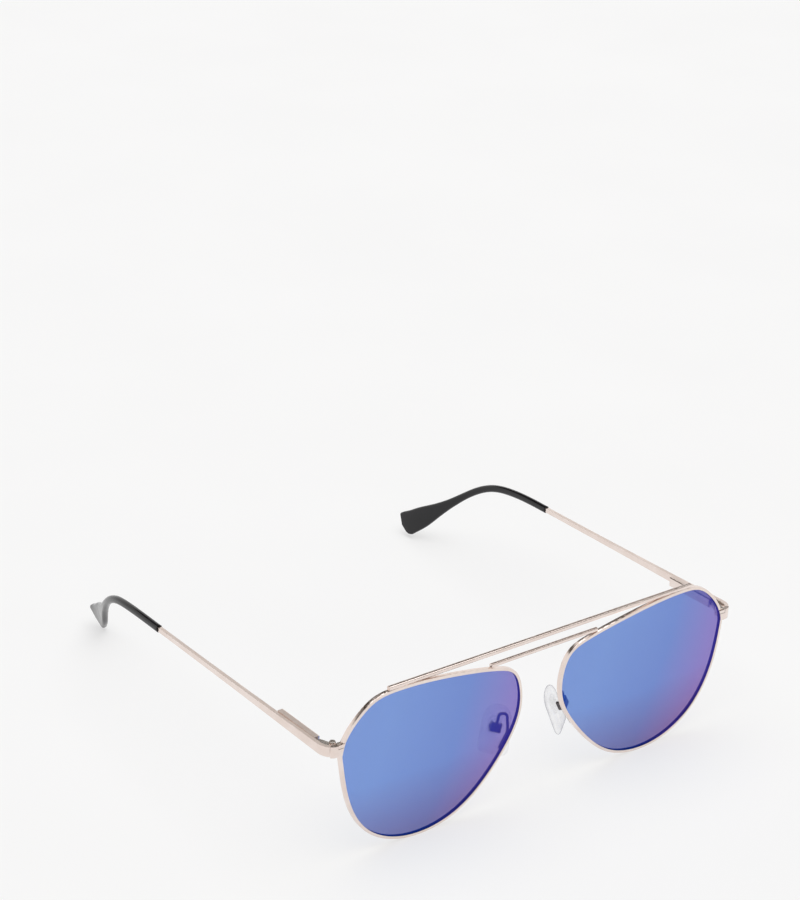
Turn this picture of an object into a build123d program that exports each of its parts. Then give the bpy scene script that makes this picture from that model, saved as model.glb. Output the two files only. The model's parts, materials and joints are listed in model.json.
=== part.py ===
from build123d import *
import math
import os

# Metal aviator sunglasses with two straight top bars, spring hinges and rocking nose pads.
# Millimetres.  +X is the wearer's left, +Y points back along the temples, +Z is up.
# The glasses stand open on their rims and temple ends, on the plane z = 0.
# Everything is made for the wearer's left (+X) and mirrored for the right.

# --- driving dimensions -------------------------------------------------------------------
# Front
RIM_WIDTH = 0.8                  # wire seen from the front
RIM_DEPTH = 1.15                 # wire seen from above
LENS_RADIUS = 200.0              # both lens faces and both rim faces follow this sphere
LENS_CENTRE = (36.0, 27.0)       # x, z of the foremost point of the sphere
LENS_POLE_Y = -1.1               # y of the rim's front face at that point
LENS_RECESS = 0.1                # rim front to lens front
LENS_THICKNESS = 1.0
LIP_START, LIP_END = 0.4, 0.85   # depths of the lip round the lens, behind the rim's front
GROOVE_DEPTH = 0.4               # how far the groove for the lip runs into the rim
GROOVE_PLAY = 0.03               # round the edge of the lens, and on each face of its lip
SOLDER_GAP = 0.01                # between two pieces that are soldered together

# Points (x, z) of the visible edge of the left lens, clockwise from the temple side.
LENS_OUTLINE = [
    (65.2, 32.5), (64.4, 26.8), (61.35, 15.4), (56.2, 7.55), (48.0, 2.35), (38.0, 0.83), (27.0, 3.7),
    (19.1, 9.85), (12.8, 17.4), (7.8, 26.9), (7.7, 35.0), (10.3, 40.5), (15.1, 43.0), (25.0, 45.6),
    (37.0, 47.5), (49.0, 47.9), (55.3, 46.7), (60.1, 43.1), (63.9, 38.0),
]

EDGE_STATIONS = 72               # points that carry the outline when it is moved outwards

# Top bars: half length, section, y of the middle and z of the underside
BROW_BAR = dict(half=51.6, depth=1.3, height=1.2, y=1.1, bottom=48.6)
BRIDGE_BAR = dict(half=18.2, depth=1.15, height=1.1, y=1.2, bottom=44.75)
BAR_EDGE = 0.4

# Hinge
HINGE = Vector(66.6, 3.85, 35.3)  # fold axis, at the middle of the stack of knuckles
KNUCKLE_RADIUS = 0.9
KNUCKLE_OUTSIDE = 1.35           # half height of the whole stack
WEB_REACH = 0.75                 # outboard of the fold axis, on the web that carries a knuckle
WEB_SINK = 0.3                   # how far a web runs into the endpiece's band
EYE_HALF = 0.45                  # half height of the eye between the knuckles
EYE_PLAY = 0.1                   # above and below the eye
EYE_RADIUS = 0.85
HINGE_PIN_RADIUS = 0.5
PIN_PLAY = 0.05                  # running clearance of the eye on its pin
FIXED_PLAY = 0.02                # round a screw in the piece that holds it
SEAM_DISTANCE = 2.4              # fold axis to the middle of the seam, along 45 degrees

# Endpiece and rim lock
ENDPIECE_HALF = 1.65             # half height
ENDPIECE_FRONT = 1.0             # y of the front face
STRIP_THICKNESS = 1.1            # of the endpiece's band and of the temple
BLOCK_INNER = 63.4               # x, inside the rim's own edge before trimming
BLOCK_OUTER = 66.65              # x
BLOCK_REAR = 2.7                 # y
LOCK_SLIT = 0.1
LOCK_SPLIT = 0.6                 # height of the slit above the hinge's middle
LOCK_DEPTH = 0.9                 # depth of the screw's hole below the hinge's middle
LOCK_SCREW = (66.08, 1.9)        # x, y
LOCK_SCREW_RADIUS = 0.3
LOCK_HEAD_RADIUS = 0.52
SCREW_HEAD_HEIGHT = 0.32
SLOT_WIDTH = 0.2
SLOT_DEPTH = 0.14

# Temple
STRIP_MIDDLE = 69.65             # x of the temple's middle plane
TEMPLE_SLOPE = 3.35              # degrees that the temple falls towards the ear
SEAM_GAP = 0.1                   # between the endpiece and the open temple
TIP_START = 85.0                 # y where the plastic tip begins
# height of the strip along y
STRIP_HEIGHTS = [(0.0, 2.9), (14.0, 2.55), (26.0, 2.2), (42.0, 1.8), (62.0, 1.5), (86.0, 1.35)]
STRIP_END_HALF = 0.68            # half height of the strip where it enters the tip
CORE_RADIUS = 0.45
CORE_LENGTH = 12.0

# Spring housing on the inside of the temple, and what is in it
HOUSING_FRONT = 8.3
HOUSING_REAR = 25.5
HOUSING_THICKNESS = 1.8
HOUSING_HEIGHT = 2.8
HOUSING_EDGE = 0.4
BORE_RADIUS = 0.65
BORE_END = 20.6
ROD_RADIUS = 0.33
ROD_END = 18.6
PLUG_LENGTH = 1.3
NUT_LENGTH = 0.8
SPRING_RADIUS = 0.5
SPRING_WIRE = 0.2
SPRING_TURNS = 10
SPRING_END_GAP = 0.08
TONGUE_FRONT = 6.6
TONGUE_REAR = 7.9
TONGUE_HALF_WIDTH = 0.6

# Temple tip: the middle line of its bend, and its section (share of length, thickness, height)
TIP_ROUTE = [
    (69.65, 85.0, 30.55), (69.6, 93.0, 30.05), (69.3, 102.0, 29.1), (68.5, 110.5, 27.1),
    (66.9, 118.0, 22.9), (64.6, 124.5, 17.4), (61.8, 131.0, 11.6), (57.5, 142.0, 2.8),
]
TIP_SIZES = [
    (0.0, 1.85, 2.2), (0.58, 1.95, 2.3), (0.68, 2.0, 3.0), (0.76, 2.0, 4.4), (0.85, 1.9, 6.6),
    (0.93, 1.8, 7.8), (1.0, 1.7, 8.2),
]
TIP_STATIONS = 20
TIP_ROLL = 18.0                  # degrees that the tip has rolled by its end
TIP_END_LEAN = 27.0              # degrees that the end leans, so that the top edge is longer
TIP_END_TOP, TIP_END_BOTTOM = 1.2, 3.2    # radii of the two corners of the end
SOCKET_PLAY = 0.08               # round the metal strip in the mouth of the tip
SOCKET_DEPTH = 0.8

# Nose pad
PAD_CENTRE = Vector(10.4, 7.4, 20.8)
PAD_UP = Vector(-0.387, 0.173, 0.906).normalized()    # long axis: in and back towards the top
PAD_FACE_HINT = Vector(-0.6, 0.8, 0.0)                # towards the nose
PAD_THICKNESS = 1.7
# The pad's outline is stretched round three circles: x, y and radius in the pad's own plane
PAD_CIRCLES = [(0.3, 2.0, 3.9), (-1.4, -6.1, 1.7), (3.4, -5.8, 2.0)]
PAD_EDGE = 0.6
PAD_PIVOT_DEPTH = 2.45           # middle of the pad to the rocking axis
STEM_WIDTH, STEM_HALF = 1.5, 0.75
INSERT = (3.6, 5.4, 0.5)         # plate moulded into the pad
INSERT_PLAY = 0.02
PAD_BOX_WIDTH, PAD_BOX_HEIGHT = 3.1, 2.6
PAD_BOX_FRONT, PAD_BOX_REAR = 1.55, 3.95
PAD_BOX_SLOT = 1.7
PAD_BOX_WALL = 0.6
PAD_SCREW_RADIUS = 0.35
PAD_SCREW_HEAD = 0.6
PAD_SCREW_HEAD_HEIGHT = 0.3
PAD_WIRE_RADIUS = 0.42
# Route of the pad arm up to its box: along the rim, up, over and down
PAD_WIRE_ROUTE = [(12.6, 2.14, 17.0), (9.8, 2.28, 21.4), (9.15, 3.75, 25.9), (10.9, 4.9, 26.1)]
PAD_WIRE_BENDS = [1.6, 0.95, 0.95]

PRISM_FRONT, PRISM_REAR = -8.0, 12.0
MIDDLE_Y = 71.57                 # middle of the overall depth, where the origin goes


# --- shared shapes ------------------------------------------------------------------------
def prism_y(face, front=PRISM_FRONT, rear=PRISM_REAR):
    """Extrude a face drawn in x and z from y = front to y = rear."""
    return extrude(Plane.XZ.offset(-front) * face, amount=rear - front, dir=(0, 1, 0))


def prism_z(face, bottom, top):
    return extrude(Pos(0, 0, bottom) * face, amount=top - bottom, dir=(0, 0, 1))


def box_between(low, high):
    size = [b - a for a, b in zip(low, high)]
    middle = [(a + b) / 2 for a, b in zip(low, high)]
    return Pos(*middle) * Box(*size)


def lens_edge(grow):
    """The lens outline, moved outwards by grow."""
    outline = Spline(*LENS_OUTLINE, periodic=True)
    points = []
    for station in range(EDGE_STATIONS):
        share = station / EDGE_STATIONS
        along = outline % share
        points.append(outline @ share + grow * Vector(-along.Y, along.X))
    return make_face(Spline(*points, periodic=True))


def dish(depth):
    """Ball whose front lies depth behind the front of the rim."""
    x, z = LENS_CENTRE
    return Pos(x, LENS_POLE_Y + depth + LENS_RADIUS, z) * Sphere(LENS_RADIUS)


def dished(grow, front, rear):
    """The lens outline grown outwards, between two depths behind the rim's front."""
    return (prism_y(lens_edge(grow)) & dish(front)) - dish(rear)


def lens_groove():
    return dished(GROOVE_DEPTH, LIP_START - GROOVE_PLAY, LIP_END + GROOVE_PLAY)


def lens_opening():
    return prism_y(lens_edge(0))


def slotted_head(radius, height):
    """Screw head standing on z = 0, with a driver slot across its top."""
    head = Pos(0, 0, height / 2) * Cylinder(radius, height)
    head = fillet(head.edges().group_by(Axis.Z)[-1], height / 3)
    slot = Pos(0, 0, height) * Box(3 * radius, SLOT_WIDTH, 2 * SLOT_DEPTH)
    return head - slot


# --- front --------------------------------------------------------------------------------
def make_rim():
    ring = dished(RIM_WIDTH, 0, RIM_DEPTH) - lens_opening() - lens_groove()
    block_gap = box_between(
        (BLOCK_INNER - 4, PRISM_FRONT, HINGE.Z - ENDPIECE_HALF - SOLDER_GAP),
        (BLOCK_OUTER + 4, PRISM_REAR, HINGE.Z + ENDPIECE_HALF + SOLDER_GAP),
    )
    return ring - block_gap


def make_lens():
    """Lens that fills the rim, with a thinner lip round it that sits in the groove."""
    lens = dished(-GROOVE_PLAY, LENS_RECESS, LENS_RECESS + LENS_THICKNESS)
    return lens + dished(GROOVE_DEPTH - GROOVE_PLAY, LIP_START, LIP_END)


def make_bar(spec):
    """Straight square bar across both rims, let into their tops where it crosses them."""
    bar = Box(2 * spec["half"], spec["depth"], spec["height"])
    bar = Pos(0, spec["y"], spec["bottom"] + spec["height"] / 2) * bar
    bar = fillet(bar.edges().filter_by(Axis.X), BAR_EDGE)
    rim_body = prism_y(lens_edge(RIM_WIDTH + SOLDER_GAP))
    return bar - rim_body - mirror(rim_body, about=Plane.YZ)


def seam_middle():
    step = SEAM_DISTANCE * math.cos(math.radians(45))
    return HINGE.X + step, HINGE.Y - step


def endpiece_band():
    """Plan of the band from the rim to the seam: straight, then turning back by 45 degrees."""
    half = STRIP_THICKNESS / 2
    seam_x, seam_y = seam_middle()
    middle_y = ENDPIECE_FRONT + half
    bend = (seam_y - middle_y) / (1 - math.cos(math.radians(45)))
    start_x = seam_x - bend * math.sin(math.radians(45))
    centre = (start_x, middle_y + bend)
    outer = CenterArc(centre, bend + half, -90, 45)
    inner = CenterArc(centre, bend - half, -90, 45)
    edges = [
        Line((BLOCK_OUTER, ENDPIECE_FRONT), outer @ 0), outer, Line(outer @ 1, inner @ 1), inner,
        Line(inner @ 0, (BLOCK_OUTER, (inner @ 0).Y)),
        Line((BLOCK_OUTER, (inner @ 0).Y), (BLOCK_OUTER, ENDPIECE_FRONT)),
    ]
    return make_face(edges)


def make_endpiece():
    low, high = HINGE.Z - ENDPIECE_HALF, HINGE.Z + ENDPIECE_HALF
    piece = prism_z(endpiece_band(), low, high)
    split = HINGE.Z + LOCK_SPLIT - LOCK_SLIT / 2
    piece += box_between((BLOCK_INNER, ENDPIECE_FRONT, low), (BLOCK_OUTER, BLOCK_REAR, split))
    for side in (-1, 1):
        inside = HINGE.Z + side * (EYE_HALF + EYE_PLAY)
        outside = HINGE.Z + side * KNUCKLE_OUTSIDE
        bottom, top = sorted((inside, outside))
        web_start = (BLOCK_OUTER + 0.03, ENDPIECE_FRONT + STRIP_THICKNESS - WEB_SINK, bottom)
        piece += box_between(web_start, (HINGE.X + WEB_REACH, HINGE.Y, top))
        piece += prism_z(Pos(HINGE.X, HINGE.Y) * Circle(KNUCKLE_RADIUS), bottom, top)
    piece -= lens_opening() + lens_groove()
    pin = Cylinder(HINGE_PIN_RADIUS + FIXED_PLAY, 4 * KNUCKLE_OUTSIDE)
    lock = Cylinder(LOCK_SCREW_RADIUS + FIXED_PLAY, 2 * (LOCK_SPLIT + LOCK_DEPTH))
    return piece - Location(HINGE) * pin - Pos(*LOCK_SCREW, HINGE.Z + LOCK_SPLIT) * lock


def make_lock_block():
    low = HINGE.Z + LOCK_SPLIT + LOCK_SLIT / 2
    high = HINGE.Z + ENDPIECE_HALF
    block = box_between((BLOCK_INNER, ENDPIECE_FRONT, low), (BLOCK_OUTER - 0.05, BLOCK_REAR, high))
    hole = Pos(*LOCK_SCREW, HINGE.Z) * Cylinder(LOCK_SCREW_RADIUS + FIXED_PLAY, 6)
    return block - lens_opening() - lens_groove() - hole


def make_lock_screw():
    top = HINGE.Z + ENDPIECE_HALF
    bottom = HINGE.Z - LOCK_DEPTH + 0.1
    shank = Pos(*LOCK_SCREW, (top + bottom) / 2) * Cylinder(LOCK_SCREW_RADIUS, top - bottom)
    return shank + Pos(*LOCK_SCREW, top) * slotted_head(LOCK_HEAD_RADIUS, SCREW_HEAD_HEIGHT)


def make_hinge_screw():
    shank = Cylinder(HINGE_PIN_RADIUS, 2 * KNUCKLE_OUTSIDE)
    head = Pos(0, 0, KNUCKLE_OUTSIDE) * slotted_head(KNUCKLE_RADIUS - 0.08, SCREW_HEAD_HEIGHT)
    return Location(HINGE) * (shank + head)


# --- temple -------------------------------------------------------------------------------
def sloped(shape):
    """Tip a temple piece, drawn level, about the hinge so that it falls towards the ear."""
    return Location(HINGE) * Rot(-TEMPLE_SLOPE, 0, 0) * Location(-HINGE) * shape


def along_y(radius, start, end):
    """Level cylinder along y on the spring's axis."""
    rod = Rot(90, 0, 0) * Cylinder(radius, end - start)
    return Pos(spring_x(), (start + end) / 2, HINGE.Z) * rod


def spring_x():
    return STRIP_MIDDLE - STRIP_THICKNESS / 2 - HOUSING_THICKNESS / 2


def strip_plan():
    """Plan of the temple: an arc running past the seam, then straight back."""
    half = STRIP_THICKNESS / 2
    seam_x, seam_y = seam_middle()
    bend = (STRIP_MIDDLE - seam_x) / (1 - math.cos(math.radians(45)))
    centre = (STRIP_MIDDLE - bend, seam_y + bend * math.sin(math.radians(45)))
    turn = 60
    outer = CenterArc(centre, bend + half, -turn, turn)
    inner = CenterArc(centre, bend - half, -turn, turn)
    end = TIP_START + SOCKET_DEPTH - SOLDER_GAP
    edges = [
        outer,
        Line(outer @ 1, (STRIP_MIDDLE + half, end)),
        Line((STRIP_MIDDLE + half, end), (STRIP_MIDDLE - half, end)),
        Line((STRIP_MIDDLE - half, end), inner @ 1),
        inner,
        Line(inner @ 0, outer @ 0),
    ]
    return make_face(edges)


def make_temple_arm():
    upper = [(y, height / 2) for y, height in STRIP_HEIGHTS]
    lower = [(y, -height / 2) for y, height in reversed(STRIP_HEIGHTS)]
    profile = make_face(Polyline(*upper, *lower, close=True))
    profile = Pos(0, 0, HINGE.Z) * (Plane.YZ * profile)
    band = extrude(profile, amount=STRIP_MIDDLE + 2)
    strip = prism_z(strip_plan(), HINGE.Z - 3, HINGE.Z + 3) & band
    core = Rot(90, 0, 0) * Cylinder(CORE_RADIUS, CORE_LENGTH + 1)
    core = Pos(STRIP_MIDDLE, TIP_START + (CORE_LENGTH - 1) / 2, HINGE.Z) * core
    return sloped(strip + core) - seam_side()


def seam_side():
    """Everything on the endpiece's side of the seam, which faces the hinge at 45 degrees."""
    block = Pos(10, SEAM_GAP - 5, 0) * Box(20, 10, 10)
    return Location(HINGE) * Rot(0, 0, -45) * block


def make_spring_housing():
    inner_x = STRIP_MIDDLE - STRIP_THICKNESS / 2 - HOUSING_THICKNESS
    half = HOUSING_HEIGHT / 2
    box = box_between(
        (inner_x, HOUSING_FRONT, HINGE.Z - half),
        (inner_x + HOUSING_THICKNESS, HOUSING_REAR, HINGE.Z + half),
    )
    inner_edges = box.faces().sort_by(Axis.X)[0].edges()
    box = fillet(inner_edges, HOUSING_EDGE)
    return sloped(box - along_y(BORE_RADIUS, HOUSING_FRONT - 1, BORE_END))


def make_housing_plug():
    end = HOUSING_FRONT + PLUG_LENGTH
    ring = along_y(BORE_RADIUS - 0.01, HOUSING_FRONT, end)
    return sloped(ring - along_y(ROD_RADIUS + PIN_PLAY, HOUSING_FRONT - 1, end + 1))


def make_hinge_slider():
    """Eye on the hinge pin, its tongue, and the rod that runs into the housing."""
    x = spring_x()
    tongue = Pos(x, (TONGUE_FRONT + TONGUE_REAR) / 2) * Rectangle(
        2 * TONGUE_HALF_WIDTH, TONGUE_REAR - TONGUE_FRONT
    )
    eye = Pos(HINGE.X, HINGE.Y) * Circle(EYE_RADIUS)
    plate = make_hull(eye.edges() + tongue.edges())
    plate = prism_z(plate, HINGE.Z - EYE_HALF, HINGE.Z + EYE_HALF)
    plate -= Location(HINGE) * Cylinder(HINGE_PIN_RADIUS + PIN_PLAY, 4)
    return plate + sloped(along_y(ROD_RADIUS, TONGUE_REAR - 0.5, ROD_END))


def make_slider_nut():
    nut = along_y(BORE_RADIUS - PIN_PLAY, ROD_END - NUT_LENGTH, ROD_END)
    return sloped(nut - along_y(ROD_RADIUS + FIXED_PLAY, ROD_END - 3, ROD_END + 1))


def make_hinge_spring():
    start = HOUSING_FRONT + PLUG_LENGTH + SPRING_END_GAP + SPRING_WIRE / 2
    end = ROD_END - NUT_LENGTH - SPRING_END_GAP - SPRING_WIRE / 2
    length = end - start
    coil = Helix(pitch=length / SPRING_TURNS, height=length, radius=SPRING_RADIUS)
    wire = Plane(origin=coil @ 0, z_dir=coil % 0) * Circle(SPRING_WIRE / 2)
    spring = sweep(wire, path=coil)
    return sloped(Pos(spring_x(), start, HINGE.Z) * Rot(-90, 0, 0) * spring)


def tip_size(share):
    """Thickness and height of the tip at a share of its length."""
    for (low, *near), (high, *far) in zip(TIP_SIZES, TIP_SIZES[1:]):
        if share <= high:
            step = (share - low) / (high - low)
            return [a + step * (b - a) for a, b in zip(near, far)]
    return TIP_SIZES[-1][1:]


def tip_plane(route, share):
    """Cross plane of the tip: x across its thickness, y down its height.  The tip rolls
    more and more towards its end, where its top edge leans out."""
    along = route % share
    upward = Vector(0, 0, 1).rotate(Axis.Y, TIP_ROLL * share**2)
    return Plane(origin=route @ share, x_dir=along.cross(upward), z_dir=along)


def tip_end_waste():
    """What is cut off the end of the tip, to leave a leaning end with rounded corners."""
    half = TIP_SIZES[-1][2] / 2
    lead = half * math.tan(math.radians(TIP_END_LEAN))
    top, bottom, reach = (-half, lead), (half, -lead), 4 * half
    kept = make_face(Polyline(top, bottom, (half, -reach), (-half, -reach), close=True))
    kept = fillet(kept.vertices().sort_by_distance(top)[0], TIP_END_TOP)
    kept = fillet(kept.vertices().sort_by_distance(bottom)[0], TIP_END_BOTTOM)
    kept = extrude(Plane.YZ * kept, amount=half, both=True)
    return Pos(0, 0, half) * Box(half, 4 * half, 4 * half) - kept


def make_temple_tip():
    route = Spline(*TIP_ROUTE)
    sections = []
    for station in range(TIP_STATIONS + 1):
        share = station / TIP_STATIONS
        thickness, height = tip_size(share)
        section = RectangleRounded(thickness, height, 0.45 * thickness)
        sections.append(tip_plane(route, share) * section)
    tip = loft(sections)
    tip -= tip_plane(route, 1) * tip_end_waste()
    across, up = STRIP_THICKNESS / 2 + SOCKET_PLAY, STRIP_END_HALF + SOCKET_PLAY
    socket = box_between(
        (STRIP_MIDDLE - across, TIP_START - 1, HINGE.Z - up),
        (STRIP_MIDDLE + across, TIP_START + SOCKET_DEPTH, HINGE.Z + up),
    )
    bore = Rot(90, 0, 0) * Cylinder(CORE_RADIUS + FIXED_PLAY, CORE_LENGTH + 2)
    bore = Pos(STRIP_MIDDLE, TIP_START + CORE_LENGTH / 2 - 0.8, HINGE.Z) * bore
    return tip - sloped(bore + socket)


# --- nose pad -----------------------------------------------------------------------------
def pad_plane():
    """Frame of the nose pad: x along the rocking axis, y up the pad, z out of its face."""
    face = (PAD_FACE_HINT - PAD_UP * PAD_FACE_HINT.dot(PAD_UP)).normalized()
    return Plane(origin=PAD_CENTRE, x_dir=PAD_UP.cross(face), z_dir=face)


def pad_core_local():
    width, height, thickness = INSERT
    plate = Box(width, height, thickness)
    plate = fillet(plate.edges().filter_by(Axis.Z), 1.2)
    stem = Pos(0, 0, -PAD_PIVOT_DEPTH / 2) * Box(STEM_WIDTH, 2 * STEM_HALF, PAD_PIVOT_DEPTH)
    knuckle = Pos(0, 0, -PAD_PIVOT_DEPTH) * Rot(0, 90, 0) * Cylinder(STEM_HALF, STEM_WIDTH)
    bore = Cylinder(PAD_SCREW_RADIUS + PIN_PLAY, 2 * STEM_WIDTH)
    bore = Pos(0, 0, -PAD_PIVOT_DEPTH) * Rot(0, 90, 0) * bore
    return plate + stem + knuckle - bore


def make_pad_core():
    return pad_plane() * pad_core_local()


def make_nose_pad():
    rounds = [Pos(x, y) * Circle(radius) for x, y, radius in PAD_CIRCLES]
    outline = make_hull([edge for circle in rounds for edge in circle.edges()])
    pad = extrude(Pos(0, 0, -PAD_THICKNESS / 2) * outline, amount=PAD_THICKNESS)
    rims = pad.edges().group_by(Axis.Z)
    pad = fillet(rims[0] + rims[-1], PAD_EDGE)
    width, height, thickness = (size + 2 * INSERT_PLAY for size in INSERT)
    pocket = fillet(Box(width, height, thickness).edges().filter_by(Axis.Z), 1.2)
    stem = Box(STEM_WIDTH + 2 * INSERT_PLAY, 2 * (STEM_HALF + INSERT_PLAY), PAD_THICKNESS)
    pocket += Pos(0, 0, -PAD_THICKNESS / 2) * stem
    return pad_plane() * (pad - pocket)


def make_pad_box():
    """Small clip soldered to the end of the pad arm; the pad's stem rocks in its slot."""
    depth = PAD_BOX_REAR - PAD_BOX_FRONT
    clip = Box(PAD_BOX_WIDTH, PAD_BOX_HEIGHT, depth)
    clip = Pos(0, 0, -(PAD_BOX_FRONT + PAD_BOX_REAR) / 2) * fillet(
        clip.faces().sort_by(Axis.Z)[0].edges(), 0.4
    )
    slot = Box(PAD_BOX_SLOT, 2 * PAD_BOX_HEIGHT, depth)
    clip -= Pos(0, 0, -(PAD_BOX_FRONT + PAD_BOX_REAR) / 2 + PAD_BOX_WALL) * slot
    bore = Rot(0, 90, 0) * Cylinder(PAD_SCREW_RADIUS + FIXED_PLAY, 2 * PAD_BOX_WIDTH)
    return pad_plane() * (clip - Pos(0, 0, -PAD_PIVOT_DEPTH) * bore)


def make_pad_screw():
    shank = Cylinder(PAD_SCREW_RADIUS, PAD_BOX_WIDTH)
    head = slotted_head(PAD_SCREW_HEAD, PAD_SCREW_HEAD_HEIGHT)
    screw = shank + Pos(0, 0, PAD_BOX_WIDTH / 2) * head
    return pad_plane() * Pos(0, 0, -PAD_PIVOT_DEPTH) * Rot(0, -90, 0) * screw


def make_pad_arm():
    plane = pad_plane()
    top = -(PAD_PIVOT_DEPTH + PAD_BOX_REAR) / 2
    landing = plane.from_local_coords(Vector(0, 0, top))
    route = [Vector(*point) for point in PAD_WIRE_ROUTE] + [landing]
    path = FilletPolyline(*route, radius=PAD_WIRE_BENDS)
    start = Plane(origin=path @ 0, z_dir=path % 0)
    wire = sweep(start * Circle(PAD_WIRE_RADIUS), path=path)
    below = Pos(0, -4 + PAD_BOX_HEIGHT / 2 + SOLDER_GAP, top) * Box(3, 8, 3)
    return wire - plane * below


# --- the whole object ---------------------------------------------------------------------
SIDE_PARTS = {
    "rim": make_rim,
    "lens": make_lens,
    "endpiece": make_endpiece,
    "rim_lock_block": make_lock_block,
    "rim_lock_screw": make_lock_screw,
    "hinge_screw": make_hinge_screw,
    "hinge_slider": make_hinge_slider,
    "slider_nut": make_slider_nut,
    "hinge_spring": make_hinge_spring,
    "temple_arm": make_temple_arm,
    "spring_housing": make_spring_housing,
    "housing_plug": make_housing_plug,
    "temple_tip": make_temple_tip,
    "pad_arm": make_pad_arm,
    "pad_box": make_pad_box,
    "pad_screw": make_pad_screw,
    "pad_core": make_pad_core,
    "nose_pad": make_nose_pad,
}


def save(name, part):
    """Write one piece, with the origin under the middle of the open glasses."""
    export_step(Pos(0, -MIDDLE_Y, 0) * part, f"parts/{name}.step")


def main():
    os.makedirs("parts", exist_ok=True)
    save("brow_bar", make_bar(BROW_BAR))
    save("bridge_bar", make_bar(BRIDGE_BAR))
    for name, make in SIDE_PARTS.items():
        part = make()
        save(f"left_{name}", part)
        save(f"right_{name}", mirror(part, about=Plane.YZ))


main()
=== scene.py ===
"""Aviator sunglasses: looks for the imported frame.  Metres, in the frame's own axes:
+X is the wearer's left, +Y runs back along the temples, +Z is up."""

import json
import math

import bmesh
import bpy
from mathutils import Matrix, Vector
from mathutils.geometry import convex_hull_2d

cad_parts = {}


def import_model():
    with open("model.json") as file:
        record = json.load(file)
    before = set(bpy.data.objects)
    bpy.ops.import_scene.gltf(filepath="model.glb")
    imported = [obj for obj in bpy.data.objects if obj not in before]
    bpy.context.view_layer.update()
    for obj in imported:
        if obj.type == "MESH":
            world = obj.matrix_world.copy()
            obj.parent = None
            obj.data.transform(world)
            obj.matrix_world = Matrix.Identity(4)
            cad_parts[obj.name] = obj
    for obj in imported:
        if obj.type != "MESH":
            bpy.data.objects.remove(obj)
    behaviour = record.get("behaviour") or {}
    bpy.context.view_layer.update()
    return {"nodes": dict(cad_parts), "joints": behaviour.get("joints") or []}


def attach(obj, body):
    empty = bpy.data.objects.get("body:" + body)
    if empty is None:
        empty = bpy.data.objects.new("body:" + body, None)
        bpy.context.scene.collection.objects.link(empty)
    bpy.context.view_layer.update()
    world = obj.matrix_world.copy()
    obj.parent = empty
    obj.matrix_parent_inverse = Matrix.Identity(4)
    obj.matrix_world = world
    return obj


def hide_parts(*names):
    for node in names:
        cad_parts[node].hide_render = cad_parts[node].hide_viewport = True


MM = 0.001
SIDES = ("left", "right")

# Camera: a three-quarter view from the front and above
CAMERA_BACK = (-36.9635, 25.9924)    # azimuth and elevation of the view, degrees
CAMERA_ROLL = 2.6975                 # degrees
CAMERA_DISTANCE = 0.6619124          # from the frame's origin, along the view
CAMERA_OFFSET = (0.0366804, -0.092426)
CAMERA_FOCUS = 2399.91 / 900         # focal length over the picture's long side
SENSOR = 36.0
ORIGIN_SHIFT = Vector((0, -0.07017, 0.001))

# Studio: colour of the room by the sine of the elevation, as shares of the lamp's brightness
LAMP_LEVEL = 2.5
ROOM = [
    (0.0, (0.39, 0.39, 0.39)), (0.44, (0.38, 0.37, 0.36)), (0.49, (0.014, 0.010, 0.007)),
    (0.75, (0.014, 0.010, 0.007)), (0.83, (1.0, 1.0, 1.0)),
]
FLOOR_GLOW = 0.56    # share of the pale floor's brightness that no shadow takes away

# Nose pads
PAD_POINTS = 56      # round the outline
PAD_RINGS = 7        # from the outline to the middle of each face
PAD_FLATNESS = 0.55  # how the rings widen: a power of the cosine
PAD_CROWN = 0.85     # how the crown rises: a power of the sine


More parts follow.
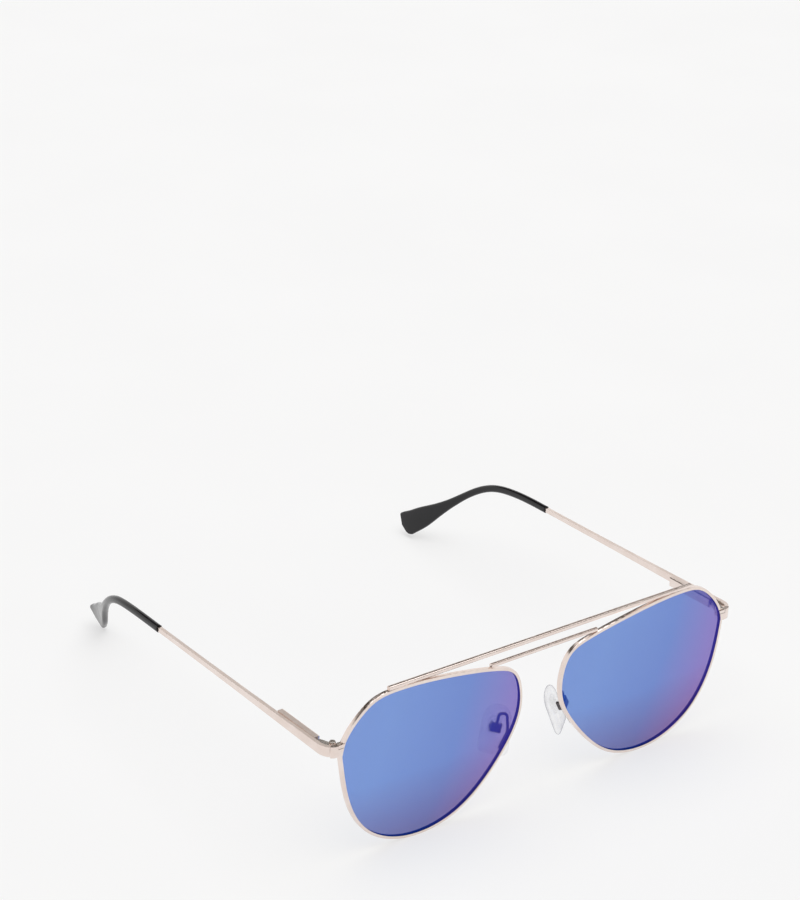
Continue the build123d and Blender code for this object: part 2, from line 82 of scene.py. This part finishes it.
# --- node helpers ------------------------------------------------------------------------
class Shader:
    """A small wrapper that builds one node material."""

    def __init__(self, name):
        self.material = bpy.data.materials.new(name)
        self.material.use_nodes = True
        self.tree = self.material.node_tree
        self.tree.nodes.clear()
        self.output = self.add("ShaderNodeOutputMaterial")

    def add(self, kind, **values):
        node = self.tree.nodes.new(kind)
        for key, value in values.items():
            if hasattr(node, key):
                setattr(node, key, value)
            else:
                node.inputs[key.replace("_", " ")].default_value = value
        return node

    def link(self, source, target):
        self.tree.links.new(source, target)

    def surface(self, **values):
        shader = self.add("ShaderNodeBsdfPrincipled")
        for key, value in values.items():
            shader.inputs[key.replace("_", " ")].default_value = value
        self.link(shader.outputs[0], self.output.inputs["Surface"])
        return shader

    def place(self, scale=(1, 1, 1)):
        """Object coordinates, which are the frame's own metres, scaled."""
        where = self.add("ShaderNodeTexCoord")
        mapping = self.add("ShaderNodeMapping")
        mapping.inputs["Scale"].default_value = scale
        self.link(where.outputs["Object"], mapping.inputs["Vector"])
        return mapping.outputs["Vector"]

    def noise(self, scale, detail=3.0, stretch=(1, 1, 1), roughness=0.55):
        texture = self.add("ShaderNodeTexNoise")
        texture.inputs["Scale"].default_value = scale
        texture.inputs["Detail"].default_value = detail
        texture.inputs["Roughness"].default_value = roughness
        self.link(self.place(stretch), texture.inputs["Vector"])
        return texture.outputs["Fac"]

    def remap(self, value, low, high, to_low, to_high):
        node = self.add("ShaderNodeMapRange")
        node.inputs["From Min"].default_value = low
        node.inputs["From Max"].default_value = high
        node.inputs["To Min"].default_value = to_low
        node.inputs["To Max"].default_value = to_high
        self.link(value, node.inputs["Value"])
        return node.outputs["Result"]

    def ramp(self, value, stops):
        node = self.add("ShaderNodeValToRGB")
        ramp = node.color_ramp
        while len(ramp.elements) < len(stops):
            ramp.elements.new(0.5)
        for element, (position, colour) in zip(ramp.elements, stops):
            element.position = position
            element.color = (*colour, 1)
        self.link(value, node.inputs["Fac"])
        return node.outputs["Color"]

    def combine(self, operation, *values):
        """A Math node on sockets and plain numbers."""
        node = self.add("ShaderNodeMath", operation=operation)
        for socket, value in zip(node.inputs, values):
            if isinstance(value, bpy.types.NodeSocket):
                self.link(value, socket)
            else:
                socket.default_value = value
        return node.outputs[0]

    def blend(self, how, one, other):
        """Two colours blended in full."""
        node = self.add("ShaderNodeMix", data_type="RGBA", blend_type=how)
        share, first, second = (socket for socket in node.inputs if socket.enabled)
        share.default_value = 1.0
        self.link(one, first)
        self.link(other, second)
        return next(socket for socket in node.outputs if socket.enabled)

    def mixed(self, share, one, other):
        """Two shaders mixed: share is how much of the other."""
        node = self.add("ShaderNodeMixShader")
        if isinstance(share, bpy.types.NodeSocket):
            self.link(share, node.inputs["Fac"])
        else:
            node.inputs["Fac"].default_value = share
        self.link(one.outputs[0], node.inputs[1])
        self.link(other.outputs[0], node.inputs[2])
        return node

    def bump(self, height, strength, distance, shader):
        node = self.add("ShaderNodeBump")
        node.inputs["Strength"].default_value = strength
        node.inputs["Distance"].default_value = distance
        self.link(height, node.inputs["Height"])
        self.link(node.outputs["Normal"], shader.inputs["Normal"])
        return node


# --- materials ---------------------------------------------------------------------------
def rose_gold():
    """Polished pale rose-gold plating with faint polishing marks and thin tarnish."""
    m = Shader("rose_gold_plating")
    shader = m.surface(Metallic=1.0)
    tone = m.ramp(
        m.noise(180, 4),
        [(0.3, (0.80, 0.68, 0.62)), (0.7, (0.87, 0.77, 0.72))],
    )
    m.link(tone, shader.inputs["Base Color"])
    marks = m.noise(900, 5, (1, 0.06, 1))
    m.link(m.remap(marks, 0.3, 0.7, 0.15, 0.27), shader.inputs["Roughness"])
    m.bump(m.noise(2500, 3, (1, 0.08, 1)), 0.05, 0.00002, shader)
    return m.material


def fitting_with_painted_shade():
    """Polished metal of the nose-pad arms and boxes, with small scuffs, its colour painted dark as
    shade for the light that the tinted lens in front of them takes away.
    """
    m = Shader("pad_fitting_painted_shade")
    shader = m.surface(Metallic=1.0)
    # Dark base colour: painted shade standing in for the light lost through the lens, varying a
    # little at random.
    tone = m.ramp(m.noise(400, 3), [(0.3, (0.13, 0.12, 0.12)), (0.7, (0.20, 0.18, 0.18))])
    m.link(tone, shader.inputs["Base Color"])
    m.link(m.remap(m.noise(2200, 4), 0.3, 0.7, 0.1, 0.22), shader.inputs["Roughness"])
    return m.material


def turned_steel():
    """Bright steel of screws and hinge parts, with fine turning marks."""
    m = Shader("turned_steel")
    shader = m.surface(Metallic=1.0)
    tone = m.ramp(m.noise(600, 3), [(0.3, (0.50, 0.46, 0.42)), (0.7, (0.68, 0.64, 0.60))])
    m.link(tone, shader.inputs["Base Color"])
    m.link(m.remap(m.noise(3000, 4, (1, 1, 0.1)), 0.3, 0.7, 0.2, 0.4), shader.inputs["Roughness"])
    return m.material


def lens_coating():
    """Tinted lens: a blue mirror coating on its front face, painted reflection turning it violet
    towards the right, painted shade dulling it towards the bottom, a clear rear face and an edge
    painted near-black as groove shade."""
    m = Shader("mirror_lens")
    where = m.add("ShaderNodeTexCoord")
    split = m.add("ShaderNodeSeparateXYZ")
    m.link(where.outputs["Generated"], split.inputs[0])
    cloud = m.noise(28, 2)
    lean = m.combine("MULTIPLY_ADD", split.outputs["Z"], -0.25, m.combine("MULTIPLY", cloud, 0.1))
    across = m.combine("ADD", split.outputs["X"], lean)
    height = m.combine("MULTIPLY_ADD", cloud, 0.1, split.outputs["Z"])
    # Painted shade: the mirror and see-through colours duller and redder towards the bottom of the
    # lens.
    painted_bottom_shade = m.ramp(height, [(0.1, (1.0, 0.70, 0.70)), (0.5, (1.0, 1.0, 1.0))])
    # Mirror colour: the coating's own blue, with painted reflection turning it violet towards the
    # right.
    coat_painted_violet = m.ramp(
        across,
        [(0.1, (0.002, 0.078, 0.60)), (0.5, (0.01, 0.07, 0.58)), (0.85, (0.065, 0.053, 0.52))],
    )
    # See-through colour: the lens's own tint, with the same painted violet drift towards the
    # right.
    tint_painted_violet = m.ramp(
        across,
        [(0.1, (0.46, 0.63, 0.84)), (0.5, (0.40, 0.53, 0.75)), (0.85, (0.55, 0.44, 0.67))],
    )
    mirror = m.add("ShaderNodeBsdfGlossy")
    mirror.inputs["Roughness"].default_value = 0.05
    m.link(m.blend("MULTIPLY", coat_painted_violet, painted_bottom_shade), mirror.inputs["Color"])
    glass = m.add("ShaderNodeBsdfTransparent")
    m.link(m.blend("MULTIPLY", tint_painted_violet, painted_bottom_shade), glass.inputs["Color"])
    coated = m.mixed(0.5, glass, mirror)
    shine = m.add("ShaderNodeBsdfGlossy", Roughness=0.04)
    plain = m.mixed(0.05, m.add("ShaderNodeBsdfTransparent"), shine)
    # Edge faces painted near-black: painted shade and dark reflection of the rim groove around the
    # lens.
    painted_groove_shade = m.add("ShaderNodeBsdfDiffuse", Color=(0.001, 0.001, 0.008, 1))
    facing = m.add("ShaderNodeSeparateXYZ")
    m.link(where.outputs["Normal"], facing.inputs[0])
    inside = m.add("ShaderNodeNewGeometry").outputs["Backfacing"]
    outward = m.combine("MULTIPLY", m.remap(inside, 0, 1, 1, -1), facing.outputs["Y"])
    rear = m.mixed(m.remap(outward, 0.4, 0.6, 0, 1), painted_groove_shade, plain)
    whole = m.mixed(m.remap(outward, -0.4, -0.6, 0, 1), rear, coated)
    m.link(whole.outputs[0], m.output.inputs["Surface"])
    return m.material


def black_acetate():
    """Glossy black plastic of the temple tips, with faint moulding waves and dust-fine marks."""
    m = Shader("black_acetate")
    shader = m.surface(IOR=1.45)
    tone = m.ramp(m.noise(90, 3), [(0.3, (0.004, 0.004, 0.005)), (0.7, (0.009, 0.008, 0.010))])
    m.link(tone, shader.inputs["Base Color"])
    m.link(m.remap(m.noise(500, 4), 0.3, 0.7, 0.08, 0.2), shader.inputs["Roughness"])
    m.bump(m.noise(350, 2), 0.06, 0.00005, shader)
    return m.material


def clear_plastic(name, body, outline, gloss):
    """Clear plastic: almost no colour face on, greyer where it is seen edge on, and a wet shine.
    Faint clouds run through it."""
    m = Shader(name)
    slant = m.add("ShaderNodeLayerWeight", Blend=0.5).outputs["Facing"]
    cloud = m.remap(m.noise(420, 3), 0.3, 0.7, -0.04, 0.04)
    clouded = m.combine("ADD", slant, cloud)
    tone = m.ramp(clouded, [(0.58, (body, body, body)), (0.95, outline)])
    glass = m.add("ShaderNodeBsdfTransparent")
    m.link(tone, glass.inputs["Color"])
    shine = m.add("ShaderNodeBsdfGlossy")
    m.link(m.remap(m.noise(900, 3), 0.3, 0.7, 0.08, 0.2), shine.inputs["Roughness"])
    wetness = m.remap(slant, 0.3, 1.0, 0.5 * gloss, 3.0 * gloss)
    m.link(m.mixed(wetness, glass, shine).outputs[0], m.output.inputs["Surface"])
    return m.material


def clear_silicone():
    """Soft clear silicone of the nose pads."""
    return clear_plastic("clear_silicone", 0.98, (0.34, 0.34, 0.40), 0.05)


def clear_insert():
    """Harder clear plastic of the insert inside each nose pad."""
    return clear_plastic("clear_insert", 0.98, (0.80, 0.80, 0.83), 0.04)


def pale_floor():
    """Matt pale sweep that glows a little, as it does when lit from all round."""
    m = Shader("pale_floor")
    shader = m.surface(Roughness=1.0, Specular_IOR_Level=0.0)
    tone = m.ramp(m.noise(12, 2), [(0.3, (0.32, 0.32, 0.32)), (0.7, (0.33, 0.33, 0.33))])
    m.link(tone, shader.inputs["Base Color"])
    shader.inputs["Emission Color"].default_value = (1, 1, 1, 1)
    shader.inputs["Emission Strength"].default_value = FLOOR_GLOW
    return m.material


# --- pieces ------------------------------------------------------------------------------
def soften(node, width, angle=35):
    """Round the sharp edges of a CAD node, without touching its mesh."""
    weld = node.modifiers.new("join_faces", "WELD")
    weld.merge_threshold = 0.000002
    bevel = node.modifiers.new("round_edges", "BEVEL")
    bevel.width = width
    bevel.segments = 3
    bevel.limit_method = "ANGLE"
    bevel.angle_limit = math.radians(angle)
    bevel.harden_normals = True
    bevel.use_clamp_overlap = True


def give(node, material):
    node.data.materials.clear()
    node.data.materials.append(material)


def dress(nodes):
    """Give every CAD node that shows its material, and round the edges that show."""
    gold, steel, lens = rose_gold(), turned_steel(), lens_coating()
    shaded_fitting, acetate, insert = fitting_with_painted_shade(), black_acetate(), clear_insert()
    finish = {
        "brow_bar": gold, "bridge_bar": gold,
        "rim": gold, "endpiece": gold, "rim_lock_block": gold, "temple_arm": gold,
        # The nose-pad arms, boxes and screws get the metal painted dark as shade.
        "spring_housing": gold, "pad_arm": shaded_fitting, "pad_box": shaded_fitting, "pad_screw": shaded_fitting,
        "lens": lens, "temple_tip": acetate, "pad_core": insert,
        "rim_lock_screw": steel, "hinge_screw": steel, "hinge_slider": steel,
        "slider_nut": steel, "hinge_spring": steel, "housing_plug": steel,
    }
    rounding = {
        "rim": 0.2 * MM, "endpiece": 0.12 * MM, "rim_lock_block": 0.08 * MM,
        "temple_arm": 0.14 * MM, "temple_tip": 0.2 * MM, "hinge_slider": 0.06 * MM,
    }
    for name, node in nodes.items():
        kind = name.split("_", 1)[1] if name.startswith(SIDES) else name
        if kind not in finish:
            continue
        give(node, finish[kind])
        if kind in rounding:
            soften(node, rounding[kind])


def evenly(outline, count):
    """Points at even steps along a closed flat outline."""
    closed = outline + outline[:1]
    lengths = [(end - start).length for start, end in zip(closed, closed[1:])]
    step = sum(lengths) / count
    points, passed, reach = [], 0.0, 0.0
    for start, end, length in zip(closed, closed[1:], lengths):
        while reach < passed + length and len(points) < count:
            points.append(start.lerp(end, (reach - passed) / length))
            reach += step
        passed += length
    return points


def nose_pad(side, node, rocking_axis, material):
    """Soft crowned pad with the outline and the thickness of its CAD solid."""
    corners = [vertex.co for vertex in node.data.vertices]
    across = Vector(rocking_axis).normalized()
    through = max(node.data.polygons, key=lambda face: face.area).normal.normalized()
    along = through.cross(across)
    flat = [Vector((corner.dot(across), corner.dot(along))) for corner in corners]
    depths = [corner.dot(through) for corner in corners]
    outline = evenly([flat[index] for index in convex_hull_2d(flat)], PAD_POINTS)
    middle = sum(outline, Vector((0, 0))) / PAD_POINTS
    level = (max(depths) + min(depths)) / 2
    half = (max(depths) - min(depths)) / 2

    def place(point, depth):
        return across * point.x + along * point.y + through * depth

    mesh = bmesh.new()
    rings = []
    for ring in range(-PAD_RINGS, PAD_RINGS + 1):
        turn = math.radians(90) * ring / (PAD_RINGS + 1)
        size = math.cos(turn) ** PAD_FLATNESS
        depth = level + half * math.copysign(abs(math.sin(turn)) ** PAD_CROWN, turn)
        rings.append([mesh.verts.new(place(middle.lerp(point, size), depth)) for point in outline])
    for low, high in zip(rings, rings[1:]):
        for index in range(PAD_POINTS):
            after = (index + 1) % PAD_POINTS
            mesh.faces.new((low[index], low[after], high[after], high[index]))
    for ring, depth in ((rings[0], level - half), (rings[-1], level + half)):
        pole = mesh.verts.new(place(middle, depth))
        for index in range(PAD_POINTS):
            mesh.faces.new((ring[index], ring[(index + 1) % PAD_POINTS], pole))
    bmesh.ops.recalc_face_normals(mesh, faces=mesh.faces)
    for face in mesh.faces:
        face.smooth = True
    data = bpy.data.meshes.new(f"{side}_soft_nose_pad")
    mesh.to_mesh(data)
    mesh.free()
    pad = bpy.data.objects.new(data.name, data)
    bpy.context.scene.collection.objects.link(pad)
    give(pad, material)
    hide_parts(node.name)
    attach(pad, f"{side}_pad")


def make_nose_pads(frame):
    """The two soft pads, in place of their plain CAD solids."""
    silicone = clear_silicone()
    axes = {joint["name"]: joint["axis"] for joint in frame["joints"]}
    for side in SIDES:
        node = frame["nodes"][f"{side}_nose_pad"]
        nose_pad(side, node, axes[f"{side}_pad_rock"], silicone)


# --- studio ------------------------------------------------------------------------------
def make_floor():
    """A wide level floor under the glasses."""
    bpy.ops.mesh.primitive_plane_add(size=8, location=(0, 0, 0))
    floor = bpy.context.object
    floor.name = "floor"
    give(floor, pale_floor())


def make_world():
    """A pale sweep up to the horizon, a dark room above it and a wide lamp overhead."""
    world = bpy.data.worlds.new("studio")
    bpy.context.scene.world = world
    world.use_nodes = True
    tree = world.node_tree
    where = tree.nodes.new("ShaderNodeTexCoord")
    split = tree.nodes.new("ShaderNodeSeparateXYZ")
    ramp = tree.nodes.new("ShaderNodeValToRGB")
    tree.links.new(where.outputs["Generated"], split.inputs[0])
    tree.links.new(split.outputs["Z"], ramp.inputs["Fac"])
    elements = ramp.color_ramp.elements
    while len(elements) < len(ROOM):
        elements.new(0.5)
    for element, (sine, colour) in zip(elements, ROOM):
        element.position = sine
        element.color = (*colour, 1)
    background = tree.nodes["Background"]
    tree.links.new(ramp.outputs["Color"], background.inputs["Color"])
    background.inputs["Strength"].default_value = LAMP_LEVEL


def make_camera():
    """The camera, placed by its view direction, roll and distance."""
    azimuth, elevation = (math.radians(angle) for angle in CAMERA_BACK)
    right = Vector((math.cos(azimuth), math.sin(azimuth), 0))
    back = Vector((
        math.sin(azimuth) * math.cos(elevation),
        -math.cos(azimuth) * math.cos(elevation),
        math.sin(elevation),
    ))
    up = back.cross(right)
    roll = math.radians(CAMERA_ROLL)
    across = right * math.cos(roll) + up * math.sin(roll)
    upright = -right * math.sin(roll) + up * math.cos(roll)
    place = back * CAMERA_DISTANCE - across * CAMERA_OFFSET[0] - upright * CAMERA_OFFSET[1]
    place += ORIGIN_SHIFT
    data = bpy.data.cameras.new("camera")
    data.sensor_width = SENSOR
    data.lens = CAMERA_FOCUS * SENSOR
    data.clip_start = 0.01
    camera = bpy.data.objects.new("camera", data)
    bpy.context.scene.collection.objects.link(camera)
    rotation = Matrix((across, upright, back)).transposed()
    camera.matrix_world = Matrix.Translation(place) @ rotation.to_4x4()
    bpy.context.scene.camera = camera


def main():
    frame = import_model()
    dress(frame["nodes"])
    make_nose_pads(frame)
    make_floor()
    make_world()
    make_camera()
    scene = bpy.context.scene
    scene.view_settings.view_transform = "Standard"


main()
